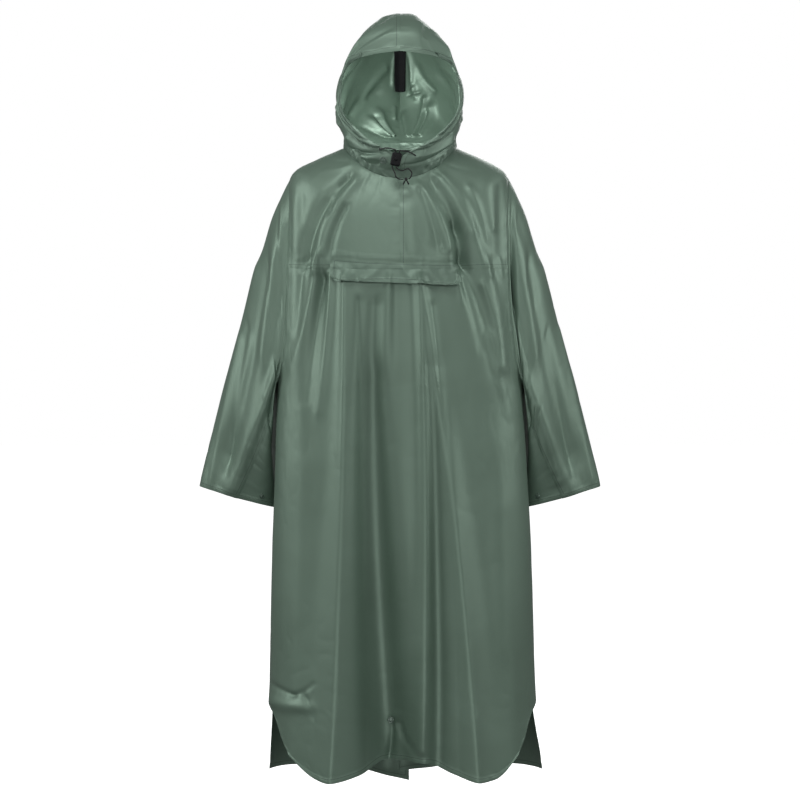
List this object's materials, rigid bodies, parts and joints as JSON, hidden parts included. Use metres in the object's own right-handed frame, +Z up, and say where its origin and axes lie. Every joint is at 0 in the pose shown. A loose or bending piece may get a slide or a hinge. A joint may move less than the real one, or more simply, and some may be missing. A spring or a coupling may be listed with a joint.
{
  "type": "rain poncho with hood and sleeves",
  "caption": "Long hooded rain poncho with wide sleeves, drawcord neck, chest pocket flap, side slits and a lapped back vent, hanging filled out with no wearer.",
  "frame": {"origin": "between the shoulders, level with the side of the neck, where a wearer's shoulders hold the garment", "axes": "+Z up; the front faces -Y; the wearer's left is +X"},
  "size_m": [0.8056, 0.382, 1.5578],
  "materials": {
    "coated_nylon": "grey-green coated nylon with a satin sheen",
    "nylon_trim": "the same nylon, doubled and stitched",
    "black_webbing": "matt black webbing",
    "black_cord": "braided black cord",
    "black_plastic": "matt black plastic",
    "green_plastic": "grey-green plastic, lightly glossy",
    "dark_metal": "dark coated metal"
  },
  "bodies": {
    "root": {"front_body": "coated_nylon", "front_yoke_left": "coated_nylon", "front_yoke_right": "coated_nylon", "back_left": "coated_nylon", "back_right": "coated_nylon", "sleeve_left": "coated_nylon", "sleeve_right": "coated_nylon", "gusset_left": "coated_nylon", "gusset_right": "coated_nylon", "hood_left": "coated_nylon", "hood_right": "coated_nylon", "neckband": "nylon_trim", "chest_flap": "nylon_trim", "face_channel_left": "nylon_trim", "face_channel_right": "nylon_trim", "hood_strap": "black_webbing", "cord_lock": "black_plastic", "drawcord_left": "black_cord", "drawcord_right": "black_cord", "drawcord_end_left": "black_cord", "drawcord_end_right": "black_cord", "cord_knot": "black_cord", "cord_tip_left": "black_cord", "cord_tip_right": "black_cord", "eyelet_left": "dark_metal", "eyelet_right": "dark_metal", "cuff_snap_left": "dark_metal", "cuff_snap_right": "dark_metal", "hem_snap": "dark_metal", "throat_snap": "green_plastic"}
  },
  "joints": []
}
